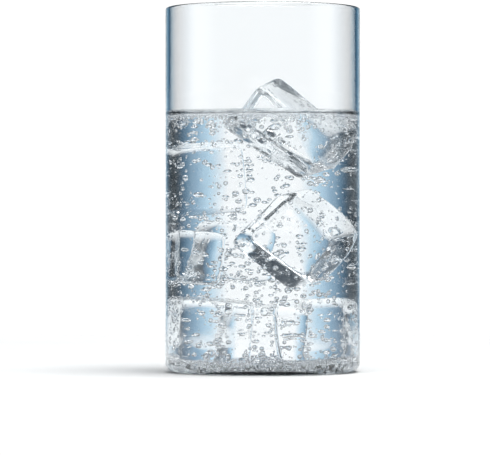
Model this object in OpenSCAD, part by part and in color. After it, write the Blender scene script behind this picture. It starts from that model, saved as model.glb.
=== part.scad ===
// Straight-sided pint tumbler of clear glass, filled with sparkling water over ice.
// Origin: centre of the underside. +Z: up the glass's axis. +X: right, +Y: back. Millimetres.

/* [Glass] */
// Outside diameter of the tumbler
glass_d = 76; // [74:0.5:84]
// Height from the underside to the rim
glass_h = 142; // [128:1:170]
// Thickness of the side wall
wall_t = 1.9; // [1.4:0.1:2.2]
// Thickness of the base at its middle
base_t = 2.2; // [1.6:0.1:2.8]
// Outside radius where the wall turns into the base
heel_r = 4; // [3:0.5:6]
// Depth of the shallow recess under the base
recess_depth = 0.5; // [0.2:0.1:0.8]
// Radius of the recess under the base
recess_r = 27; // [15:1:30]

/* [Water] */
// Height of the water's flat surface above the underside
water_level = 99.5; // [99:0.5:105]
// Height that the water's edge climbs the wall
meniscus_r = 1.5; // [0.5:0.1:2.5]

/* [Ice] */
// How far the edges of a block have melted back, measured across the edge
edge_melt = 2.3; // [1:0.1:3]
// How far the corners of a block have melted back
corner_melt = 3; // [2.5:0.1:4]

/* [Gas] */
// Number of bubbles that cling to the side wall
wall_bubble_count = 60; // [12:1:90]
// Number of bubbles that sit on the floor of the glass
floor_bubble_count = 40; // [12:1:60]
// Number of bubbles in the ring just under the water's edge
ring_bubble_count = 44; // [12:1:60]
// Number of bubbles in the stream that rises in front of the ice
stream_bubble_count = 22; // [6:1:30]
// Radius of the smallest bubble
bubble_r_min = 0.4; // [0.3:0.05:0.45]
// Radius of the largest bubble
bubble_r_max = 0.6; // [0.5:0.05:0.6]

/* [Hidden] */
$fn = 96;
// Gap that keeps the water off whatever it touches, so that no two pieces share space
gap = 0.05;
// Overshoot of a cutting shape past the face that it cuts
over = 1;
// How far the recess's slope runs inwards under the base
recess_slope = 3;
// Height of the lowest bubble on the wall, and how far below the surface the highest one stays
wall_bubble_foot = 9;
wall_bubble_head = 8;
// How far the outermost bubble on the floor stays inside the flat floor's edge
floor_bubble_margin = 1;
// Depth of the collar's first row of bubbles, the distance to the next row, and the rows
ring_depth = 1.5;
ring_step = 1.6;
ring_rows = 3;
// The stream: its foot, how far below the surface it ends, its middle, and its two waves
stream_foot = 8;
stream_head = 8;
stream_x = 2;
stream_y = -29;
stream_wave_x = 5;
stream_wave_y = 1;
stream_turns_x = 1.5;
stream_turns_y = 2.5;
// Bubbles come in this many sizes, and the step from one to the next one's size
bubble_sizes = 5;
bubble_size_step = 7;
bubble_facets = 24;
glass_r = glass_d / 2;
inner_r = glass_r - wall_t;
inner_heel_r = heel_r - wall_t / 2;
water_r = inner_r - gap;
golden_angle = 180 * (3 - sqrt(5));

// Each block of ice: [length, depth, height], [turn about X, Y, Z], [centre]
top_block = [[34, 26, 22], [12, 39, -12], [9, -3, 94]];
upper_left_block = [[26, 26, 26], [5, -4, -3], [-18, 1, 74.5]];
middle_right_block = [[28, 27, 27], [8, 42, -14], [11, -6.5, 51.8]];
middle_left_block = [[19, 22, 20], [-4, 6, -6], [-21.5, -3.5, 44.5]];
middle_back_block = [[19, 19, 22], [4, 8, 5], [-6, 21.8, 46.5]];
lower_left_block = [[27, 26, 24], [3, 4, -3], [-16.6, -5, 16.8]];
lower_right_block = [[26, 26, 24], [-3, -4, 3], [16.4, -5.5, 16.6]];
lower_back_block = [[21, 20, 21], [3, 4, 6], [0.5, 20.8, 15.4]];
BLOCKS = [
    top_block, upper_left_block, middle_right_block, middle_left_block,
    middle_back_block, lower_left_block, lower_right_block, lower_back_block
];

// Radius of bubble i: a repeating mix between the smallest and the largest
function bubble_share(i) = ((i * bubble_size_step) % bubble_sizes) / (bubble_sizes - 1);
function bubble_r(i) = bubble_r_min + (bubble_r_max - bubble_r_min) * bubble_share(i);

// A bubble that touches the wall at height z, at angle a round the axis: [centre, radius]
function at_wall(a, z, r) = let (c = water_r - gap - r) [[c * cos(a), c * sin(a), z], r];

// Bubbles climb the wall by the golden angle, so that no two come close
wall_bubble_rise = water_level - wall_bubble_foot - wall_bubble_head;
WALL_BUBBLES = [
    for (i = [0 : wall_bubble_count - 1])
        let (z = wall_bubble_foot + wall_bubble_rise * (i + 0.5) / wall_bubble_count)
        at_wall(i * golden_angle, z, bubble_r(i))
];

// Bubbles spread evenly over the floor, as seeds do in a sunflower's head
FLOOR_BUBBLES = [
    for (i = [0 : floor_bubble_count - 1])
        let (
            r = bubble_r(i),
            out = (inner_r - inner_heel_r - floor_bubble_margin) * sqrt((i + 0.5) / floor_bubble_count),
            a = i * golden_angle
        )
        [[out * cos(a), out * sin(a), base_t + 2 * gap + r], r]
];

// A collar of bubbles just under the water's edge
RING_BUBBLES = [
    for (i = [0 : ring_bubble_count - 1])
        let (z = water_level - ring_depth - ring_step * (i % ring_rows))
        at_wall(360 * i / ring_bubble_count, z, bubble_r(i))
];

// A wavering stream of bubbles between the ice and the front of the glass
STREAM_BUBBLES = [
    for (i = [0 : stream_bubble_count - 1])
        let (
            t = (i + 0.5) / stream_bubble_count,
            x = stream_x + stream_wave_x * sin(360 * stream_turns_x * t),
            y = stream_y - stream_wave_y * sin(360 * stream_turns_y * t),
            z = stream_foot + (water_level - stream_foot - stream_head) * t
        )
        [[x, y, z], bubble_r(i)]
];

BUBBLES = concat(WALL_BUBBLES, FLOOR_BUBBLES, RING_BUBBLES, STREAM_BUBBLES);

// Half-section of a straight column with a rounded foot, from height z0 to z1
module column_section(r, z0, z1, foot_r) {
    translate([0, z0 + foot_r]) square([r, z1 - z0 - foot_r]);
    translate([0, z0]) square([r - foot_r, z1 - z0]);
    translate([r - foot_r, z0 + foot_r]) intersection() {
        circle(r = foot_r);
        translate([0, -foot_r]) square(foot_r);
    }
}

module glass_section() {
    rim_r = wall_t / 2;
    difference() {
        column_section(glass_r, 0, glass_h - rim_r, heel_r);
        column_section(inner_r, base_t, glass_h + over, inner_heel_r);
        polygon([
            [-over, -over], [recess_r + over, -over], [recess_r, 0],
            [recess_r - recess_slope, recess_depth], [-over, recess_depth]
        ]);
    }
    translate([glass_r - rim_r, glass_h - rim_r]) intersection() {
        circle(r = rim_r);
        translate([-rim_r, 0]) square([wall_t, rim_r]);
    }
}

// The water's half-section: a column whose edge curls up where it wets the wall
module water_section() {
    column_section(water_r, base_t + gap, water_level, inner_heel_r - gap);
    difference() {
        translate([water_r - meniscus_r, water_level - over]) square([meniscus_r, meniscus_r + over]);
        translate([water_r - meniscus_r, water_level + meniscus_r]) circle(r = meniscus_r);
    }
}

// A box whose twelve edges are melted to flats and whose eight corners are melted round
module melted_box(size, grow) {
    reach = 2 * norm(size);
    wide_x = sqrt(2) * ((size[1] + size[2]) / 2 - edge_melt) + 2 * grow;
    wide_y = sqrt(2) * ((size[0] + size[2]) / 2 - edge_melt) + 2 * grow;
    wide_z = sqrt(2) * ((size[0] + size[1]) / 2 - edge_melt) + 2 * grow;
    intersection() {
        cube([for (side = size) side + 2 * grow], center = true);
        rotate([45, 0, 0]) cube([reach, wide_x, wide_x], center = true);
        rotate([0, 45, 0]) cube([wide_y, reach, wide_y], center = true);
        rotate([0, 0, 45]) cube([wide_z, wide_z, reach], center = true);
        sphere(r = norm(size) / 2 - corner_melt + grow);
    }
}

// A block of ice in its place, larger all round by grow when it cuts the water
module block(place, grow = 0) {
    translate(place[2]) rotate(place[1]) melted_box(place[0], grow);
}

module bubbles(places, grow = 0) {
    for (b = places) translate(b[0]) sphere(r = b[1] + grow, $fn = bubble_facets);
}

module glass() {
    color("lightcyan", 0.35) rotate_extrude() glass_section();
}

module water() {
    color("powderblue", 0.4) difference() {
        rotate_extrude() water_section();
        for (place = BLOCKS) block(place, gap);
        bubbles(BUBBLES, gap);
    }
}

module ice(place) {
    color("aliceblue", 0.6) block(place);
}

module gas(places) {
    color("white", 0.7) bubbles(places);
}

glass();
water();
ice(top_block);  // ice_top
ice(upper_left_block);  // ice_upper_left
ice(middle_right_block);  // ice_middle_right
ice(middle_left_block);  // ice_middle_left
ice(middle_back_block);  // ice_middle_back
ice(lower_left_block);  // ice_lower_left
ice(lower_right_block);  // ice_lower_right
ice(lower_back_block);  // ice_lower_back
gas(WALL_BUBBLES);  // wall_bubbles
gas(FLOOR_BUBBLES);  // floor_bubbles
gas(RING_BUBBLES);  // ring_bubbles
gas(STREAM_BUBBLES);  // stream_bubbles
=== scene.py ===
"""The looks of a pint tumbler of sparkling water over ice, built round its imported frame."""

import logging
import math
import random
from collections.abc import Iterable, Mapping, Sequence
from dataclasses import dataclass, field
from enum import Enum

import bpy
import numpy as np
from mathutils import Euler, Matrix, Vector


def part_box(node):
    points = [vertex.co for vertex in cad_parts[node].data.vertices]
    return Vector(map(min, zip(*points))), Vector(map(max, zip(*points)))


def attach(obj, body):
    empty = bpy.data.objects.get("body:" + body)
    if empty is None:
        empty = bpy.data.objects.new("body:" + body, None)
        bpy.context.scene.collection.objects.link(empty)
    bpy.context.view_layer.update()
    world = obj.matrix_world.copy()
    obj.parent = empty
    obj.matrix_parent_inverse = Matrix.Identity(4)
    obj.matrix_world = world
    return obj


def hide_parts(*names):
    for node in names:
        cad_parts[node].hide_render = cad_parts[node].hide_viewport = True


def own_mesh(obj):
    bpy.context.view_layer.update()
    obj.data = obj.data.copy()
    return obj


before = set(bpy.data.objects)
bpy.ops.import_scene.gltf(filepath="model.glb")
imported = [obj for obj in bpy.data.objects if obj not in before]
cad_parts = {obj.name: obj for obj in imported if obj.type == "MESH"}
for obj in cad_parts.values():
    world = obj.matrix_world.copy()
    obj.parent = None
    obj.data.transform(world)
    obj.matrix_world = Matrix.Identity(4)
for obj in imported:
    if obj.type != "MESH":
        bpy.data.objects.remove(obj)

LOG = logging.getLogger("pint_glass")
MM = 0.001
WELD = MM / 200
GLASS_BODY = "glass"
WATER_IOR = 1.333
ICE_IOR = 1.5
GLASS_IOR = 1.51
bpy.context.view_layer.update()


# ---------------------------------------------------------------- shader wiring


class Signal:
    """A socket in a node tree, which Python's operators turn into Math nodes."""

    def __init__(self, board: "Board", socket: bpy.types.NodeSocket) -> None:
        """Wraps a socket of the board's tree."""
        self.board = board
        self.socket = socket

    def __add__(self, other: "Signal | float") -> "Signal":
        """Sum."""
        return self.board.maths("ADD", self, other)

    __radd__ = __add__

    def __sub__(self, other: "Signal | float") -> "Signal":
        """Difference."""
        return self.board.maths("SUBTRACT", self, other)

    def __rsub__(self, other: float) -> "Signal":
        """Difference from a number."""
        return self.board.maths("SUBTRACT", other, self)

    def __mul__(self, other: "Signal | float") -> "Signal":
        """Product."""
        return self.board.maths("MULTIPLY", self, other)

    __rmul__ = __mul__

    def __truediv__(self, other: "Signal | float") -> "Signal":
        """Quotient."""
        return self.board.maths("DIVIDE", self, other)

    def __rtruediv__(self, other: float) -> "Signal":
        """Quotient of a number by this."""
        return self.board.maths("DIVIDE", other, self)

    def __abs__(self) -> "Signal":
        """Size without sign."""
        return self.board.maths("ABSOLUTE", self, 0.0)


class Board:
    """A node tree that is wired up in Python."""

    def __init__(self, tree: bpy.types.NodeTree) -> None:
        """Empties the tree, ready for wiring."""
        self.tree = tree
        tree.nodes.clear()

    def add(
        self,
        kind: str,
        settings: Mapping[str, object] | None = None,
        inputs: Mapping[str | int, object] | None = None,
    ) -> bpy.types.Node:
        """Adds one node.

        Args:
            kind: The node's type name.
            settings: Its own settings, set first; "stops" fills a colour ramp.
            inputs: Numbers, colours or signals for its sockets.

        Returns:
            The new node.
        """
        node = self.tree.nodes.new(kind)
        for name, value in (settings or {}).items():
            if name == "stops":
                self._fill_ramp(node.color_ramp, value)
            else:
                setattr(node, name, value)
        for name, value in (inputs or {}).items():
            if isinstance(value, Signal):
                self.tree.links.new(value.socket, node.inputs[name])
            else:
                node.inputs[name].default_value = value
        return node

    def signal(self, node: bpy.types.Node, output: str | int = 0) -> Signal:
        """One of a node's outputs, as a signal."""
        return Signal(self, node.outputs[output])

    def maths(self, operation: str, first: Signal | float, second: Signal | float) -> Signal:
        """The result of one Math node on two values."""
        node = self.add("ShaderNodeMath", {"operation": operation}, {0: first, 1: second})
        return self.signal(node)

    def mix(self, share: Signal, first: object, second: object) -> Signal:
        """A colour between first and second, by share."""
        node = self.add(
            "ShaderNodeMix",
            {"data_type": "RGBA"},
            {"Factor": share, 6: first, 7: second},
        )
        return self.signal(node, 2)

    def ramp(self, share: Signal, stops: Sequence[tuple[float, Sequence[float]]]) -> Signal:
        """The colour that a ramp of (position, colour) stops gives at share."""
        node = self.add("ShaderNodeValToRGB", {"stops": stops}, {"Fac": share})
        return self.signal(node)

    def smooth_step(self, value: Signal, low: float, high: float) -> Signal:
        """Rises from 0 at low to 1 at high, with soft ends."""
        node = self.add(
            "ShaderNodeMapRange",
            {"interpolation_type": "SMOOTHSTEP"},
            {"Value": value, "From Min": low, "From Max": high},
        )
        return self.signal(node)

    def noise(self, scale: float, detail: float, roughness: float = 0.5) -> Signal:
        """Noise in the piece's own coordinates.

        Args:
            scale: How many waves there are in a metre.
            detail: How many finer layers it has.
            roughness: How strong the finer layers are.

        Returns:
            The noise, from 0 to 1.
        """
        place = self.signal(self.add("ShaderNodeTexCoord"), "Object")
        node = self.add(
            "ShaderNodeTexNoise",
            inputs={"Vector": place, "Scale": scale, "Detail": detail, "Roughness": roughness},
        )
        return self.signal(node)

    @staticmethod
    def _fill_ramp(ramp: bpy.types.ColorRamp, stops: Sequence[tuple[float, Sequence[float]]]) -> None:
        """Gives a colour ramp its stops.

        Args:
            ramp: The colour ramp.
            stops: Its (position, colour) stops, from low to high.
        """
        while len(ramp.elements) > 1:
            ramp.elements.remove(ramp.elements[-1])
        for i, (position, colour) in enumerate(stops):
            stop = ramp.elements[0] if i == 0 else ramp.elements.new(position)
            stop.position = position
            stop.color = (*colour, 1.0)


# ---------------------------------------------------------------- finishes


@dataclass(frozen=True)
class ClearFinish:
    """A clear material: what bends light in the glass, the water, the ice and the gas.

    Attributes:
        name: The material's name.
        ior: How strongly it bends light beside what surrounds it.
        tint: The colour of its clearest places; for the gas in the ice, tint and tint_deep are a near-black
            painted shade.
        tint_deep: The colour where it is a little less clear.
        roughness: How much its surface blurs light.
        smear: How much more it blurs where it is smeared or scuffed.
        grain: How many smears or waves there are in a metre.
        wave_height: The height of the waves in its surface, in metres.
        smear_from: The noise at which a smear begins.
        smear_full: The noise at which it is at its strongest.
    """

    name: str
    ior: float
    tint: tuple[float, float, float]
    tint_deep: tuple[float, float, float]
    roughness: float = 0.0
    smear: float = 0.0
    grain: float = 60.0
    wave_height: float = 0.0
    smear_from: float = 0.45
    smear_full: float = 0.8

    def dress(self) -> bpy.types.Material:
        """Builds the material.

        Returns:
            The material, which bends light and varies over the surface by noise.
        """
        material = bpy.data.materials.new(self.name)
        material.use_nodes = True
        board = Board(material.node_tree)
        cloud = board.noise(self.grain, detail=3.0)
        inputs = {
            "Base Color": board.mix(cloud, (*self.tint, 1.0), (*self.tint_deep, 1.0)),
            "IOR": self.ior,
            "Roughness": self.roughness,
            "Transmission Weight": 1.0,
        }
        if self.smear:
            smears = board.smooth_step(cloud, self.smear_from, self.smear_full)
            inputs["Roughness"] = smears * self.smear + self.roughness
        if self.wave_height:
            wave = board.noise(self.grain, detail=2.0, roughness=0.4)
            bump = board.add("ShaderNodeBump", inputs={"Height": wave, "Distance": self.wave_height})
            inputs["Normal"] = board.signal(bump)
        shader = board.add("ShaderNodeBsdfPrincipled", inputs=inputs)
        board.add("ShaderNodeOutputMaterial", inputs={"Surface": board.signal(shader)})
        return material


class Finish(Enum):
    """The clear finishes of the filled glass."""

    TUMBLER = ClearFinish(
        "blown_glass",
        GLASS_IOR,
        (0.975, 0.988, 0.994),
        (0.965, 0.98, 0.988),
        smear=0.006,
        grain=45.0,
        wave_height=0.00006,
    )
    WATER = ClearFinish("sparkling_water", WATER_IOR, (1.0, 1.0, 1.0), (0.992, 0.998, 1.0))
    ICE_IN_WATER = ClearFinish(
        "wet_ice", ICE_IOR / WATER_IOR, (1.0, 1.0, 1.0), (0.99, 0.995, 1.0), grain=130.0, wave_height=0.0003
    )
    ICE_IN_AIR = ClearFinish(
        "clear_ice", ICE_IOR, (1.0, 1.0, 1.0), (0.985, 0.992, 1.0), grain=130.0, wave_height=0.0003
    )
    GAS_IN_WATER = ClearFinish("gas_in_water", 1.0 / WATER_IOR, (1.0, 1.0, 1.0), (0.99, 0.995, 1.0))
    # The gas in the ice is tinted near black: painted shade, standing in for the light that its faces turn
    # away.
    GAS_IN_ICE = ClearFinish("gas_in_ice_painted_shade", 1.0 / ICE_IOR, (0.05, 0.07, 0.1), (0.03, 0.05, 0.08))


class Cabinet:
    """Holds each finish's material, so that pieces of one finish share it."""

    def __init__(self) -> None:
        """Starts empty."""
        self._made: dict[Finish, bpy.types.Material] = {}

    def take(self, finish: Finish) -> bpy.types.Material:
        """Looks up a finish's material, which is made when it is first asked for.

        Args:
            finish: The finish.

        Returns:
            Its material.
        """
        if finish not in self._made:
            self._made[finish] = finish.value.dress()
        return self._made[finish]


# ---------------------------------------------------------------- bench work


def bend(
    centre: tuple[float, float], radius: float, start: float, end: float, steps: int
) -> list[tuple[float, float]]:
    """Points along an arc of a half-section.

    Args:
        centre: The arc's centre, (radius from the axis, height).
        radius: The arc's radius.
        start: The angle it starts at, in degrees, 0 pointing outwards and 90 up.
        end: The angle it ends at.
        steps: The number of straight steps.

    Returns:
        The arc's points, both ends among them.
    """
    angles = [math.radians(start + (end - start) * i / steps) for i in range(steps + 1)]
    return [(centre[0] + radius * math.cos(a), centre[1] + radius * math.sin(a)) for a in angles]


class Bench:
    """Modelling by hand, with Blender's own tools."""

    @staticmethod
    def clear() -> None:
        """Deselects everything, so that a tool acts on the new piece alone."""
        bpy.ops.object.select_all(action="DESELECT")

    @staticmethod
    def pick(piece: bpy.types.Object) -> None:
        """Makes piece the only selected object and the active one.

        Args:
            piece: The object to work on.
        """
        Bench.clear()
        piece.select_set(True)
        bpy.context.view_layer.objects.active = piece

    @staticmethod
    def turn(name: str, section: Sequence[tuple[float, float]], steps: int) -> bpy.types.Object:
        """Turns a half-section round the Z axis, as on a lathe, starting from one point.

        Args:
            name: The new piece's name.
            section: Its half-section's points, (radius, height), in metres.
            steps: The number of faces round it.

        Returns:
            The new piece.
        """
        Bench.clear()
        bpy.ops.mesh.primitive_circle_add(vertices=3, radius=MM)
        piece = bpy.context.object
        piece.name = name
        bpy.ops.object.mode_set(mode="EDIT")
        bpy.ops.mesh.merge(type="CENTER")
        bpy.ops.transform.translate(value=(section[0][0], 0.0, section[0][1]))
        for here, there in zip(section, section[1:]):
            step = (there[0] - here[0], 0.0, there[1] - here[1])
            bpy.ops.mesh.extrude_region_move(TRANSFORM_OT_translate={"value": step})
        bpy.ops.mesh.select_all(action="SELECT")
        bpy.ops.mesh.spin(steps=steps, angle=math.tau, center=(0, 0, 0), axis=(0, 0, 1))
        bpy.ops.mesh.select_all(action="SELECT")
        bpy.ops.mesh.remove_doubles(threshold=WELD)
        bpy.ops.mesh.normals_make_consistent(inside=False)
        bpy.ops.object.mode_set(mode="OBJECT")
        return piece

    @staticmethod
    def apply(piece: bpy.types.Object, kind: str, **settings: object) -> None:
        """Adds one modifier to piece, sets it and applies it.

        Args:
            piece: The object to work on.
            kind: The modifier's type.
            settings: The modifier's settings, by name.
        """
        Bench.pick(piece)
        modifier = piece.modifiers.new(kind.lower(), kind)
        for name, value in settings.items():
            setattr(modifier, name, value)
        bpy.ops.object.modifier_apply(modifier=modifier.name)

    @staticmethod
    def settle(piece: bpy.types.Object) -> None:
        """Puts piece's place, turn and size into its mesh."""
        Bench.pick(piece)
        bpy.ops.object.transform_apply(location=True, rotation=True, scale=True)


# ---------------------------------------------------------------- sub-assemblies


@dataclass
class Tumbler:
    """The glass: a straight wall, a rounded heel, a flat floor and a fire-polished rim.

    Attributes:
        wall: Thickness of the side wall.
        base: Thickness of the base.
        heel: Outside radius where wall and base meet.
        recess_depth: Depth of the recess under the base.
        recess_radius: Radius of the recess under the base.
        recess_slope: How far the recess's slope runs inwards.
        steps_round: Faces round the glass.
        outer_steps: Steps in the bend of the heel and of the rim.
        inner_steps: Steps in the bend between the floor and the inside of the wall.
        crease: Edges sharper than this stay sharp, in radians.
        low: The lowest corner of the CAD glass's box.
        high: The highest corner of it.
    """

    wall: float = 1.9 * MM
    base: float = 2.2 * MM
    heel: float = 4.0 * MM
    recess_depth: float = 0.5 * MM
    recess_radius: float = 27.0 * MM
    recess_slope: float = 3.0 * MM
    steps_round: int = 256
    outer_steps: int = 16
    inner_steps: int = 14
    crease: float = math.radians(35)
    low: Vector = field(default_factory=lambda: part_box("glass")[0])
    high: Vector = field(default_factory=lambda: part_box("glass")[1])

    @property
    def outer(self) -> float:
        """Outside radius."""
        return self.high.x

    @property
    def inner(self) -> float:
        """Inside radius."""
        return self.outer - self.wall

    @property
    def inner_heel(self) -> float:
        """Inside radius where wall and floor meet."""
        return self.heel - self.wall / 2

    def section(self) -> list[tuple[float, float]]:
        """Draws the glass's half-section.

        Returns:
            Its points, from the middle underneath round to the middle of the floor.
        """
        rim = self.wall / 2
        turn = self.inner_heel
        under = [
            (0.0, self.recess_depth),
            (self.recess_radius / 2, self.recess_depth),
            (self.recess_radius - self.recess_slope, self.recess_depth),
            (self.recess_radius, self.low.z),
            (self.recess_radius + MM, self.low.z),
        ]
        heel = bend((self.outer - self.heel, self.heel), self.heel, -90, 0, self.outer_steps)
        top = bend((self.outer - rim, self.high.z - rim), rim, 0, 180, self.outer_steps)
        foot = bend((self.inner - turn, self.base + turn), turn, 0, -90, self.inner_steps)
        floor = [(self.inner / 2, self.base), (0.0, self.base)]
        return [*under, *heel, *top, *foot, *floor]

    def build(self, cabinet: Cabinet) -> bpy.types.Object:
        """Turns the glass and dresses it.

        Args:
            cabinet: Where its material is taken from.

        Returns:
            The finished piece.
        """
        piece = Bench.turn("tumbler", self.section(), self.steps_round)
        Bench.pick(piece)
        bpy.ops.object.shade_smooth_by_angle(angle=self.crease)
        piece.data.materials.append(cabinet.take(Finish.TUMBLER))
        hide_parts("glass")
        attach(piece, GLASS_BODY)
        return piece


@dataclass
class IceBlock:
    """A block of clear ice with melted edges and faintly dished faces.

    Attributes:
        node: Its CAD node, which is its body too.
        size: Its length, depth and height before melting, in millimetres.
        turn: Its turn about X, Y and Z, in degrees.
        melt: How round its edges are.
        dish: How deep its faces are dished.
        dish_margin: How far inside a face its dish begins, as a share of melt.
        ripple: How far its surface wanders in and out.
        ripple_length: From one crest of the surface to the next.
        fineness: How often the carved block's faces are divided to round it.
        bob: How far it bobs up, or 0 for the block that is lifted out, since its bubbles stay behind.
    """

    node: str
    size: tuple[float, float, float]
    turn: tuple[float, float, float]
    melt: float = 3.4 * MM
    dish: float = 0.35 * MM
    dish_margin: float = 0.7
    ripple: float = 0.5 * MM
    ripple_length: float = 11 * MM
    fineness: int = 3
    bob: float = 2.0 * MM

    def __post_init__(self) -> None:
        """Takes the block's centre from its CAD node."""
        low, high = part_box(self.node)
        self.centre = (low + high) / 2
        self.rotation = Euler([math.radians(a) for a in self.turn], "XYZ").to_matrix()
        self.half = Vector(self.size) * MM / 2

    def distance(self, point: Vector) -> float:
        """Measures from the block's surface to a point.

        Args:
            point: The point, in the frame.

        Returns:
            The distance, which is below 0 inside the block.
        """
        local = self.rotation.transposed() @ (point - self.centre)
        past = [abs(local[i]) - self.half[i] + self.melt for i in range(3)]
        outside = math.sqrt(sum(max(p, 0.0) ** 2 for p in past))
        return outside + min(max(past), 0.0) - self.melt

    def skin_point(self, dice: random.Random) -> tuple[Vector, Vector]:
        """Picks a random point on the block's surface.

        Args:
            dice: Where the random draws come from.

        Returns:
            The point, and the way out of the block there.
        """
        axis = dice.choices(range(3), weights=self._face_areas())[0]
        local = Vector([dice.uniform(-h, h) for h in self.half])
        local[axis] = self.half[axis] * dice.choice((-1, 1))
        flats = [h - self.melt for h in self.half]
        core = Vector([max(min(c, flat), -flat) for c, flat in zip(local, flats)])
        out = (local - core).normalized()
        return self.centre + self.rotation @ (core + out * self.melt), self.rotation @ out

    def _face_areas(self) -> list[float]:
        """A quarter of the areas of the faces across X, Y and Z."""
        x, y, z = self.half
        return [y * z, x * z, x * y]

    def carve(self, name: str) -> bpy.types.Object:
        """Models a box with melted edges, dished faces and a wandering surface.

        Args:
            name: The new piece's name.

        Returns:
            The new piece, in the block's place.
        """
        Bench.clear()
        bpy.ops.mesh.primitive_cube_add(size=1.0)
        piece = bpy.context.object
        piece.name = name
        bpy.ops.object.mode_set(mode="EDIT")
        bpy.ops.transform.resize(value=tuple(self.half * 2))
        bpy.ops.mesh.bevel(offset=self.melt, segments=3, affect="EDGES")
        bpy.ops.mesh.select_all(action="DESELECT")
        bpy.ops.object.mode_set(mode="OBJECT")
        # The box's own faces are large and square on, and those of its melted edges aren't
        smallest_side = min(self._face_areas()) * 4
        least = smallest_side * 0.2
        square_on = 0.999
        for face in piece.data.polygons:
            face.select = face.area > least and max(abs(a) for a in face.normal) > square_on
        bpy.ops.object.mode_set(mode="EDIT")
        margin = self.melt * self.dish_margin
        bpy.ops.mesh.inset(thickness=margin, depth=-self.dish, use_individual=True)
        bpy.ops.object.mode_set(mode="OBJECT")
        Bench.apply(piece, "SUBSURF", levels=self.fineness, render_levels=self.fineness)
        piece.rotation_euler = self.rotation.to_euler()
        piece.location = self.centre
        waves = bpy.data.textures.new(f"{name}_waves", "CLOUDS")
        waves.noise_scale = self.ripple_length
        waves.noise_depth = 1
        Bench.apply(
            piece, "DISPLACE", texture=waves, texture_coords="GLOBAL", strength=self.ripple, mid_level=0.5
        )
        Bench.settle(piece)
        bpy.ops.object.shade_smooth()
        return piece

    def build(self, cabinet: Cabinet, finish: Finish) -> bpy.types.Object:
        """Carves the block and dresses it.

        Args:
            cabinet: Where its material is taken from.
            finish: Clear ice in air or in water.

        Returns:
            The finished piece.
        """
        piece = self.carve(f"{self.node}_block")
        piece.data.materials.append(cabinet.take(finish))
        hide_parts(self.node)
        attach(piece, self.node)
        return piece


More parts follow.
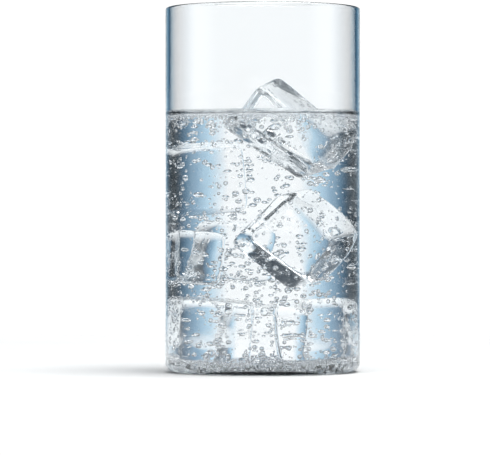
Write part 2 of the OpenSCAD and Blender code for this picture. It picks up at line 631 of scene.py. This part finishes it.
@dataclass
class Water:
    """The water: it wets the wall, climbs it at the edge, and opens round the top block.

    Attributes:
        tumbler: The glass that holds it.
        top_block: The block that stands out of it.
        lap: How far it reaches into the wall, so that no air lies between.
        climb: How far its edge climbs the wall.
        cad_climb: How far the CAD water's edge climbs the wall.
        wetting: Where the edge's curve leaves the wall, in degrees, 0 being level.
        ice_climb: How far its surface climbs the top block.
        ice_reach: How far from the top block the surface is still raised.
        skin_lap: How far its skin lies inside the top block, so that no air lies between.
        ring_gap: Distance between the rings of its top surface.
        steps_round: Faces round the water.
        foot_steps: Steps in the bend between the floor and the wall.
        edge_steps: Steps in the bend of the raised edge.
        crease: Edges sharper than this stay sharp, in radians.
    """

    tumbler: Tumbler
    top_block: IceBlock
    lap: float = 0.12 * MM
    climb: float = 2.2 * MM
    cad_climb: float = 1.5 * MM
    wetting: float = -5.0
    ice_climb: float = 1.6 * MM
    ice_reach: float = 4.5 * MM
    skin_lap: float = 0.08 * MM
    ring_gap: float = 1.0 * MM
    steps_round: int = 256
    foot_steps: int = 14
    edge_steps: int = 12
    crease: float = math.radians(50)

    def __post_init__(self) -> None:
        """Takes the height of the flat surface from the CAD water."""
        self.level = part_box("water")[1].z - self.cad_climb

    def section(self) -> list[tuple[float, float]]:
        """Draws the water's half-section.

        Returns:
            Its points, from the middle of the floor round to the middle of the surface.
        """
        cup = self.tumbler
        outer = cup.inner + self.lap
        turn = cup.inner_heel
        foot = bend((outer - turn, cup.base - self.lap + turn), turn, -90, 0, self.foot_steps)
        rise = self.climb
        edge = bend((cup.inner - rise, self.level + rise), rise, self.wetting, -90, self.edge_steps)
        rings = int((cup.inner - self.climb) / self.ring_gap)
        flat = [(edge[-1][0] * (1 - i / rings), self.level) for i in range(1, rings + 1)]
        return [
            (0.0, cup.base - self.lap),
            (cup.inner / 2, cup.base - self.lap),
            *foot,
            (outer, edge[0][1]),
            *edge,
            *flat,
        ]

    def build(self, cabinet: Cabinet) -> tuple[bpy.types.Object, bpy.types.Object]:
        """Turns the water, lifts it round the top block and opens it for the block.

        Args:
            cabinet: Where its material is taken from.

        Returns:
            The water, and its skin round the top block.
        """
        water = Bench.turn("water_fill", self.section(), self.steps_round)
        water.data.materials.append(cabinet.take(Finish.WATER))
        self._climb_the_ice(water)
        skin = self._open_for_ice(water)
        for piece in (water, skin):
            Bench.pick(piece)
            bpy.ops.object.shade_smooth_by_angle(angle=self.crease)
            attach(piece, GLASS_BODY)
        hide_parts("water")
        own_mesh(skin)
        return water, skin

    def _climb_the_ice(self, water: bpy.types.Object) -> None:
        """Lifts the surface where it meets the top block.

        Args:
            water: The whole body of water.
        """
        Bench.pick(water)
        touching = 0.2 * MM
        level_with = MM / 100
        for vertex in water.data.vertices:
            on_top = abs(vertex.co.z - self.level) < level_with
            vertex.select = on_top and self.top_block.distance(vertex.co) < touching
        for edge in water.data.edges:
            edge.select = all(water.data.vertices[v].select for v in edge.vertices)
        for face in water.data.polygons:
            face.select = all(water.data.vertices[v].select for v in face.vertices)
        bpy.ops.object.mode_set(mode="EDIT")
        bpy.ops.transform.translate(
            value=(0, 0, self.ice_climb),
            use_proportional_edit=True,
            proportional_edit_falloff="SHARP",
            proportional_size=self.ice_reach,
        )
        bpy.ops.object.mode_set(mode="OBJECT")

    def _open_for_ice(self, water: bpy.types.Object) -> bpy.types.Object:
        """Cuts the top block's place out of the water, and parts the skin round it from the rest.

        Args:
            water: The whole body of water.

        Returns:
            The skin.
        """
        cutter = self.top_block.carve("water_cutter")
        bpy.ops.object.mode_set(mode="EDIT")
        bpy.ops.mesh.select_all(action="SELECT")
        bpy.ops.transform.shrink_fatten(value=-self.skin_lap)
        bpy.ops.object.mode_set(mode="OBJECT")
        mark = bpy.data.materials.new("cut_face")
        cutter.data.materials.append(mark)
        Bench.apply(
            water, "BOOLEAN", object=cutter, operation="DIFFERENCE", solver="EXACT", material_mode="TRANSFER"
        )
        Bench.pick(cutter)
        bpy.ops.object.delete()
        Bench.pick(water)
        cut = water.data.materials.find("cut_face")
        raised = self.level + WELD
        edge_radius = self.tumbler.inner - self.climb - MM
        for face in water.data.polygons:
            corners = [water.data.vertices[v].co for v in face.vertices]
            collar = any(c.z > raised and c.xy.length < edge_radius for c in corners)
            face.select = face.material_index == cut or collar
            face.material_index = 0
        bpy.ops.object.mode_set(mode="EDIT")
        bpy.ops.mesh.select_mode(type="FACE")
        bpy.ops.mesh.separate(type="SELECTED")
        bpy.ops.object.mode_set(mode="OBJECT")
        skin = next(o for o in bpy.context.selected_objects if o is not water)
        skin.name = "water_round_top_ice"
        for piece in (water, skin):
            while len(piece.data.materials) > 1:
                piece.data.materials.pop(index=len(piece.data.materials) - 1)
        bpy.data.materials.remove(mark)
        return skin


@dataclass(frozen=True)
class Bubble:
    """One bubble: its centre, radius, height over width, and the block it bobs with, if any."""

    centre: Vector
    radius: float
    flat: float
    host: IceBlock | None = None


class BubbleBook:
    """Every bubble in the water, so that no two share a place and none lies in the ice or the wall."""

    def __init__(self, tumbler: Tumbler, level: float, blocks: Sequence[IceBlock]) -> None:
        """Opens an empty book.

        Args:
            tumbler: The glass.
            level: The height of the water's surface.
            blocks: The ice.
        """
        self.tumbler = tumbler
        self.level = level
        self.blocks = blocks
        # Two bubbles that could meet, one of them bobbing, are never more than one cell apart
        self.cell = 5.0 * MM
        self._cells: dict[tuple[int, int, int], list[Bubble]] = {}

    def try_place(self, bubble: Bubble, air: float = 0.03 * MM) -> bool:
        """Adds the bubble if there is room for it.

        Args:
            bubble: The bubble.
            air: The least distance to anything else.

        Returns:
            True if it was added.
        """
        centre, radius, host = bubble.centre, bubble.radius, bubble.host
        if centre.xy.length > self.tumbler.inner - radius - air / 2:
            return False
        if not self.tumbler.base + radius <= centre.z <= self.level - radius - air:
            return False
        if any(self._meets(bubble, block, radius + air) for block in self.blocks):
            return False
        home = tuple(math.floor(c / self.cell) for c in centre)
        reach = (-1, 0, 1)
        near = ((home[0] + i, home[1] + j, home[2] + k) for i in reach for j in reach for k in reach)
        for cell in near:
            for other in self._cells.get(cell, ()):
                apart = other.centre - centre
                if other.host is not host:
                    down = other.host.bob if other.host else 0.0
                    up = host.bob if host else 0.0
                    apart.z = max(apart.z - up, 0.0) + min(apart.z + down, 0.0)
                if apart.length < other.radius + radius + air:
                    return False
        self._cells.setdefault(home, []).append(bubble)
        return True

    @staticmethod
    def _meets(bubble: Bubble, block: IceBlock, room: float) -> bool:
        """Tells if a bubble comes too near a block, wherever either of them bobs.

        Args:
            bubble: The bubble.
            block: The block.
            room: The least distance from the bubble's centre to the block.

        Returns:
            True if it comes nearer than that.
        """
        if (bubble.centre - block.centre).length > block.half.length + room + 2 * block.bob:
            return False
        if bubble.host is block:
            return block.distance(bubble.centre) < room
        rise = bubble.host.bob if bubble.host else 0.0
        shifts = (-block.bob, -block.bob / 2, 0.0, rise / 2, rise)
        return any(block.distance(bubble.centre + Vector((0, 0, s))) < room for s in set(shifts))


def off_axis(out: float, angle: float, height: float) -> Vector:
    """The point at a distance from the axis, an angle round it and a height."""
    return Vector((out * math.cos(angle), out * math.sin(angle), height))


@dataclass(frozen=True)
class Swarm:
    """How the bubbles of one kind are drawn.

    Attributes:
        tries: How many places are tried.
        smallest: The smallest radius, in millimetres.
        largest: The largest radius, in millimetres.
        skew: How much commoner small ones are, 1 being not at all.
        flattest: The height of the flattest one over its width.
        roundest: The height of the roundest one over its width.
    """

    tries: int
    smallest: float
    largest: float
    skew: float = 2.2
    flattest: float = 0.85
    roundest: float = 1.0

    def radius(self, dice: random.Random) -> float:
        """A random radius, in metres."""
        return (self.smallest + (self.largest - self.smallest) * dice.random() ** self.skew) * MM

    def flat(self, dice: random.Random) -> float:
        """A random height over width."""
        return dice.uniform(self.flattest, self.roundest)


@dataclass
class Sparkle:
    """The gas: bubbles on the wall, the floor, the ice and in the water.

    Attributes:
        tumbler: The glass.
        water: The water.
        blocks: The ice.
        seed: Starts the random draws.
        clinging: The bubbles on the wall.
        settled: The bubbles on the floor.
        collar: The bubbles under the water's edge.
        foam: The fine bubbles under the water's surface.
        climbing: The bubbles in the open water.
        frosted: The bubbles on one block.
        bands: Heights at which the wall's bubbles crowd, and how far they stray, in millimetres.
        scattered: The share of the wall's bubbles that keep to no band.
        wall_reach: The lowest and highest of those, in millimetres.
        off_the_wall: From the wall to the bubbles on it.
        off_the_floor: From the floor to the bubbles on it, and from the wall to the collar.
        off_the_ice: From a block to the bubbles on it.
        floor_margin: How far the floor's outermost bubbles stay from the wall.
        floor_crowding: Below 1, so that the floor's bubbles crowd near the wall.
        bare_tops: The share of the bubbles that a block's upper faces shed.
        pocket_spots: Places and radii of the pockets in the top block, in millimetres.
        pocket_shape: How long, deep and high a pocket is, over its radius.
    """

    tumbler: Tumbler
    water: Water
    blocks: Sequence[IceBlock]
    seed: int = 7
    clinging: Swarm = Swarm(1600, 0.26, 1.05)
    settled: Swarm = Swarm(1300, 0.35, 1.2, flattest=0.8)
    collar: Swarm = Swarm(700, 0.3, 1.1)
    foam: Swarm = Swarm(1500, 0.2, 0.45, skew=1.4, flattest=1.0)
    climbing: Swarm = Swarm(560, 0.28, 1.45, flattest=0.7, roundest=0.95)
    frosted: Swarm = Swarm(130, 0.3, 1.15)
    bands: tuple[tuple[float, float], ...] = (
        (8.0, 5.0),
        (27.0, 5.0),
        (27.0, 5.0),
        (38.0, 3.0),
        (61.0, 3.0),
        (90.0, 6.0),
    )
    scattered: float = 0.35
    wall_reach: tuple[float, float] = (4.0, 98.0)
    off_the_wall: float = 0.02 * MM
    off_the_floor: float = 0.03 * MM
    off_the_ice: float = 0.05 * MM
    floor_margin: float = 1.2 * MM
    floor_crowding: float = 0.35
    bare_tops: float = 0.6
    pocket_spots: tuple[tuple[float, float, float, float], ...] = (
        (-6.0, -8.5, 94.6, 1.1),
        (-0.6, -9.0, 89.4, 1.5),
        (2.7, -9.0, 91.8, 1.3),
        (8.8, -10.0, 84.4, 1.0),
        (9.2, -10.0, 81.2, 0.4),
    )
    pocket_shape: tuple[float, float, float] = (1.6, 1.0, 1.0)

    def __post_init__(self) -> None:
        """Makes the book of bubbles and the model bubble that all are copied from."""
        self.book = BubbleBook(self.tumbler, self.water.level, self.blocks)
        self.dice = random.Random(self.seed)
        Bench.clear()
        bpy.ops.mesh.primitive_ico_sphere_add(subdivisions=2, radius=1.0)
        model = bpy.context.object
        self.model_points = np.array([v.co for v in model.data.vertices])
        self.model_faces = np.array([f.vertices for f in model.data.polygons])
        bpy.ops.object.delete()

    def _stray(self, crowding: float, reach: float) -> float:
        """A random distance in metres, up to reach millimetres, short ones being commoner."""
        return self.dice.random() ** crowding * reach * MM

    def on_wall(self) -> list[Bubble]:
        """Places bubbles that cling to the wall, thick in the bands where the blocks meet.

        Returns:
            The bubbles that found room.
        """
        found = []
        for _ in range(self.clinging.tries):
            middle, spread = self.dice.choice(self.bands)
            anywhere = self.dice.random() < self.scattered
            height = self.dice.uniform(*self.wall_reach) if anywhere else self.dice.gauss(middle, spread)
            radius = self.clinging.radius(self.dice)
            out = self.tumbler.inner - radius - self.off_the_wall
            centre = off_axis(out, self.dice.uniform(0, math.tau), height * MM)
            self._add(found, Bubble(centre, radius, self.clinging.flat(self.dice)))
        return found

    def on_floor(self) -> list[Bubble]:
        """Places bubbles that sit on the floor, thickest near the wall.

        Returns:
            The bubbles that found room.
        """
        found = []
        for _ in range(self.settled.tries):
            radius = self.settled.radius(self.dice)
            out = (self.tumbler.inner - self.floor_margin) * self.dice.random() ** self.floor_crowding
            angle = self.dice.uniform(0, math.tau)
            height = self.tumbler.base + radius + self.off_the_floor + self._stray(crowding=3, reach=5)
            self._add(found, Bubble(off_axis(out, angle, height), radius, self.settled.flat(self.dice)))
        return found

    def under_edge(self) -> list[Bubble]:
        """Places the collar under the water's edge, and the fine foam under its surface.

        Returns:
            The bubbles that found room.
        """
        found = []
        under_collar = 0.1 * MM
        under_foam = 0.06 * MM
        foam_margin = 2 * MM
        for _ in range(self.collar.tries):
            radius = self.collar.radius(self.dice)
            out = self.tumbler.inner - radius - self.off_the_floor - self._stray(crowding=3, reach=5)
            angle = self.dice.uniform(0, math.tau)
            height = self.water.level - radius - under_collar - self._stray(crowding=2, reach=5)
            self._add(found, Bubble(off_axis(out, angle, height), radius, self.collar.flat(self.dice)))
        for _ in range(self.foam.tries):
            radius = self.foam.radius(self.dice)
            out = (self.tumbler.inner - foam_margin) * math.sqrt(self.dice.random())
            angle = self.dice.uniform(0, math.tau)
            height = self.water.level - radius - under_foam - self._stray(crowding=2, reach=0.8)
            self._add(found, Bubble(off_axis(out, angle, height), radius, self.foam.roundest))
        return found

    def rising(self) -> list[Bubble]:
        """Places bubbles on their way up through the open water.

        Returns:
            The bubbles that found room.
        """
        found = []
        lowest = 6 * MM
        highest = self.water.level - 2 * MM
        for _ in range(self.climbing.tries):
            radius = self.climbing.radius(self.dice)
            out = (self.tumbler.inner - MM) * math.sqrt(self.dice.random())
            angle = self.dice.uniform(0, math.tau)
            height = self.dice.uniform(lowest, highest)
            self._add(found, Bubble(off_axis(out, angle, height), radius, self.climbing.flat(self.dice)))
        return found

    def on_block(self, block: IceBlock) -> list[Bubble]:
        """Places bubbles that cling to one block, most of them on its underside.

        Args:
            block: The block.

        Returns:
            The bubbles that found room.
        """
        found = []
        upper_face = 0.3
        for _ in range(self.frosted.tries):
            point, out = block.skin_point(self.dice)
            if out.z > upper_face and self.dice.random() < self.bare_tops:
                continue
            radius = self.frosted.radius(self.dice)
            centre = point + out * (radius + block.ripple / 2 + self.off_the_ice)
            host = block if block.bob else None
            self._add(found, Bubble(centre, radius, self.frosted.flat(self.dice), host))
        return found

    def build(self, cabinet: Cabinet) -> list[bpy.types.Object]:
        """Places the bubbles group by group and models each group as one mesh.

        Args:
            cabinet: Where their material is taken from.

        Returns:
            The finished pieces.
        """
        pieces = [
            self._group("ring_of_gas", self.under_edge(), GLASS_BODY, "ring_bubbles"),
            self._group("floor_gas", self.on_floor(), GLASS_BODY, "floor_bubbles"),
        ]
        for block in self.blocks:
            top = block is self.water.top_block
            body = GLASS_BODY if top else block.node
            pieces.append(self._group(f"{block.node}_gas", self.on_block(block), body))
        pieces.append(self._group("wall_gas", self.on_wall(), GLASS_BODY, "wall_bubbles"))
        pieces.append(self._group("rising_gas", self.rising(), GLASS_BODY, "stream_bubbles"))
        for piece in pieces:
            piece.data.materials.append(cabinet.take(Finish.GAS_IN_WATER))
        return pieces

    def pockets(self, cabinet: Cabinet) -> bpy.types.Object:
        """Models the drops of gas that the top block froze round, lying along its length; their near-black
        tint is painted shade.

        Args:
            cabinet: Where their material is taken from.

        Returns:
            The finished piece.
        """
        block = self.water.top_block
        shape = np.array(self.pocket_shape)
        turn = np.array(block.rotation)
        points = []
        for x, y, z, radius in self.pocket_spots:
            points.append((self.model_points * shape * radius * MM) @ turn.T + np.array((x, y, z)) * MM)
        piece = self._mesh("ice_top_pockets", points)
        piece.data.materials.append(cabinet.take(Finish.GAS_IN_ICE))
        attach(piece, block.node)
        return piece

    def _add(self, found: list[Bubble], bubble: Bubble) -> None:
        """Adds the bubble to found if the book has room for it."""
        if self.book.try_place(bubble):
            found.append(bubble)

    def _group(
        self, name: str, bubbles: Iterable[Bubble], body: str, node: str | None = None
    ) -> bpy.types.Object:
        """Models many bubbles as one piece.

        Args:
            name: The new piece's name.
            bubbles: The bubbles.
            body: The body it rides on.
            node: The CAD node it stands for, if any.

        Returns:
            The new piece.
        """
        points = [
            self.model_points * (np.array((1, 1, b.flat)) * b.radius) + np.array(b.centre) for b in bubbles
        ]
        piece = self._mesh(name, points)
        if node:
            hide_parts(node)
        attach(piece, body)
        LOG.info("%s: %d bubbles", name, len(points))
        return piece

    def _mesh(self, name: str, points: Sequence[np.ndarray]) -> bpy.types.Object:
        """Makes one object of copies of the model bubble.

        Args:
            name: The new object's name.
            points: The corners of each copy.

        Returns:
            The new object.
        """
        count = len(self.model_points)
        faces = np.vstack([self.model_faces + i * count for i in range(len(points))])
        mesh = bpy.data.meshes.new(name)
        mesh.from_pydata(np.vstack(points).tolist(), [], faces.tolist())
        piece = bpy.data.objects.new(name, mesh)
        bpy.context.scene.collection.objects.link(piece)
        Bench.pick(piece)
        bpy.ops.object.shade_smooth()
        return piece


# ---------------------------------------------------------------- studio


@dataclass
class Studio:
    """The floor, the light and the camera.

    Attributes:
        floor_radius: How far the floor reaches.
        clear_radius: Where it starts to fade into the backdrop.
        distance: From the camera to the glass's axis.
        eye: The camera's height.
        aside: How far the camera stands to the left of the axis.
        lens: The camera's focal length, in millimetres.
        round_the_glass: The light's colour from straight behind the glass (0) round to in front (1).
        overhead: The light's colour from level (0) to straight up (1).
        overhead_from: How far up the light overhead begins to take over.
        overhead_full: How far up it has taken over.
        strength: The strength of the light round the glass.
        lamps: Name, place, width and power of each soft light.
        clear_bounces: How often light may bend on its way through the clear pieces.
        gloss_bounces: How often it may be mirrored.
        matte_bounces: How often it may scatter.
        sparkle_limit: The most light that one indirect path may bring.
    """

    floor_radius: float = 0.6
    clear_radius: float = 0.09
    distance: float = 1.246
    eye: float = 0.0563
    aside: float = 0.0069
    lens: float = 234.6
    round_the_glass: tuple[tuple[float, tuple[float, float, float]], ...] = (
        (0.0, (1.0, 1.0, 1.0)),
        (0.058, (1.0, 1.0, 1.0)),
        (0.095, (0.44, 0.64, 0.78)),
        (0.13, (0.15, 0.30, 0.44)),
        (0.17, (0.045, 0.12, 0.20)),
        (0.21, (0.01, 0.03, 0.055)),
        (0.25, (0.003, 0.006, 0.01)),
        (0.34, (0.003, 0.006, 0.01)),
        (0.38, (0.04, 0.1, 0.17)),
        (0.43, (0.3, 0.45, 0.56)),
        (0.48, (0.85, 0.91, 0.95)),
        (0.57, (0.85, 0.91, 0.95)),
        (0.68, (0.5, 0.57, 0.61)),
        (1.0, (0.5, 0.57, 0.61)),
    )
    overhead: tuple[tuple[float, tuple[float, float, float]], ...] = (
        (0.25, (0.12, 0.22, 0.32)),
        (0.42, (0.01, 0.02, 0.035)),
        (0.84, (0.01, 0.02, 0.035)),
        (0.94, (0.9, 0.93, 0.95)),
    )
    overhead_from: float = 0.14
    overhead_full: float = 0.36
    strength: float = 1.06
    lamps: tuple[tuple[str, tuple[float, float, float], float, float], ...] = (
        ("top_softbox", (0.2, -0.1, 1.1), 0.8, 16.0),
        ("front_softbox", (-0.7, -1.0, 0.8), 0.5, 3.0),
    )
    clear_bounces: int = 48
    gloss_bounces: int = 16
    matte_bounces: int = 4
    sparkle_limit: float = 6.0

    def build(self) -> None:
        """Builds the whole studio."""
        self._camera()
        self._floor()
        self._backlight()
        self._lamps()
        self._film()

    def _camera(self) -> None:
        """A level camera in front of the glass."""
        bpy.ops.object.camera_add(
            location=(-self.aside, -self.distance, self.eye), rotation=(math.pi / 2, 0, 0)
        )
        camera = bpy.context.object
        camera.name = "front_camera"
        camera.data.lens = self.lens
        camera.data.clip_start = 0.05
        bpy.context.scene.camera = camera

    def _floor(self) -> None:
        """A pale matte floor that fades into the backdrop."""
        Bench.clear()
        bpy.ops.mesh.primitive_circle_add(vertices=96, radius=self.floor_radius, fill_type="NGON")
        floor = bpy.context.object
        floor.name = "studio_floor"
        material = bpy.data.materials.new("pale_floor")
        material.use_nodes = True
        board = Board(material.node_tree)
        grain = board.noise(700.0, detail=3.0)
        place = board.signal(board.add("ShaderNodeTexCoord"), "Object")
        length = board.add("ShaderNodeVectorMath", {"operation": "LENGTH"}, {0: place})
        out = board.signal(length, "Value")
        fade = 1.0 - board.smooth_step(out, self.clear_radius, self.floor_radius)
        shader = board.add(
            "ShaderNodeBsdfPrincipled",
            inputs={
                "Base Color": board.mix(grain, (0.86, 0.86, 0.85, 1.0), (0.9, 0.9, 0.89, 1.0)),
                "Roughness": 0.6,
                "Specular IOR Level": 0.2,
                "Alpha": fade,
            },
        )
        board.add("ShaderNodeOutputMaterial", inputs={"Surface": board.signal(shader)})
        floor.data.materials.append(material)

    def _backlight(self) -> None:
        """White light behind, dark beside it, pale light at the sides and in front, a dark ceiling.

        The camera itself sees plain white.
        """
        world = bpy.data.worlds.new("bright_studio")
        bpy.context.scene.world = world
        world.use_nodes = True
        board = Board(world.node_tree)
        way = board.signal(board.add("ShaderNodeTexCoord"), "Generated")
        parts = board.add("ShaderNodeSeparateXYZ", inputs={0: way})
        across, along, up = (board.signal(parts, i) for i in range(3))
        turn = board.maths("ARCTAN2", abs(across), along) / math.pi
        boxes = board.ramp(turn, self.round_the_glass)
        ceiling = board.ramp(up, self.overhead)
        share = board.smooth_step(up, self.overhead_from, self.overhead_full)
        light = board.mix(share, boxes, ceiling)
        seen = board.signal(board.add("ShaderNodeLightPath"), "Is Camera Ray")
        shown = board.mix(seen, light, (1.0, 1.0, 1.0, 1.0))
        shader = board.add("ShaderNodeBackground", inputs={"Color": shown, "Strength": self.strength})
        board.add("ShaderNodeOutputWorld", inputs={"Surface": board.signal(shader)})

    def _lamps(self) -> None:
        """One large soft light above and a weaker one in front."""
        for name, place, size, power in self.lamps:
            bpy.ops.object.light_add(type="AREA", location=place)
            lamp = bpy.context.object
            lamp.name = name
            lamp.data.size = size
            lamp.data.energy = power
            lamp.rotation_euler = Vector(place).to_track_quat("Z", "Y").to_euler()

    def _film(self) -> None:
        """Deep light paths through the clear pieces, and true white."""
        scene = bpy.context.scene
        scene.view_settings.view_transform = "Standard"
        cycles = scene.cycles
        cycles.max_bounces = self.clear_bounces
        cycles.transmission_bounces = self.clear_bounces
        cycles.glossy_bounces = self.gloss_bounces
        cycles.diffuse_bounces = self.matte_bounces
        cycles.sample_clamp_indirect = self.sparkle_limit


# ---------------------------------------------------------------- the whole glass

# Each block: its CAD node, its size before melting in millimetres, and its turn in degrees
TOP_BLOCK = ("ice_top", (34, 26, 22), (12, 39, -12))
SUNKEN_BLOCKS = (
    ("ice_upper_left", (26, 26, 26), (5, -4, -3)),
    ("ice_middle_right", (28, 27, 27), (8, 42, -14)),
    ("ice_middle_left", (19, 22, 20), (-4, 6, -6)),
    ("ice_middle_back", (19, 19, 22), (4, 8, 5)),
    ("ice_lower_left", (27, 26, 24), (3, 4, -3)),
    ("ice_lower_right", (26, 26, 24), (-3, -4, 3)),
    ("ice_lower_back", (21, 20, 21), (3, 4, 6)),
)


def report(piece: bpy.types.Object) -> None:
    """Logs one piece's size in millimetres and its number of faces."""
    size = tuple(round(side / MM, 1) for side in piece.dimensions)
    LOG.info("%s: %s mm, %d faces", piece.name, size, len(piece.data.polygons))


def main() -> None:
    """Builds the studio, the glass, the ice, the water and the gas, in that order."""
    logging.basicConfig(level=logging.INFO, format="%(name)s %(message)s")
    cabinet = Cabinet()
    Studio().build()
    tumbler = Tumbler()
    report(tumbler.build(cabinet))
    top_block = IceBlock(*TOP_BLOCK, bob=0.0)
    sunken = [IceBlock(*facts) for facts in SUNKEN_BLOCKS]
    report(top_block.build(cabinet, Finish.ICE_IN_AIR))
    for block in sunken:
        report(block.build(cabinet, Finish.ICE_IN_WATER))
    water = Water(tumbler, top_block)
    for piece in water.build(cabinet):
        report(piece)
    sparkle = Sparkle(tumbler, water, (top_block, *sunken))
    for piece in sparkle.build(cabinet):
        report(piece)
    report(sparkle.pockets(cabinet))


if __name__ == "__main__":
    main()
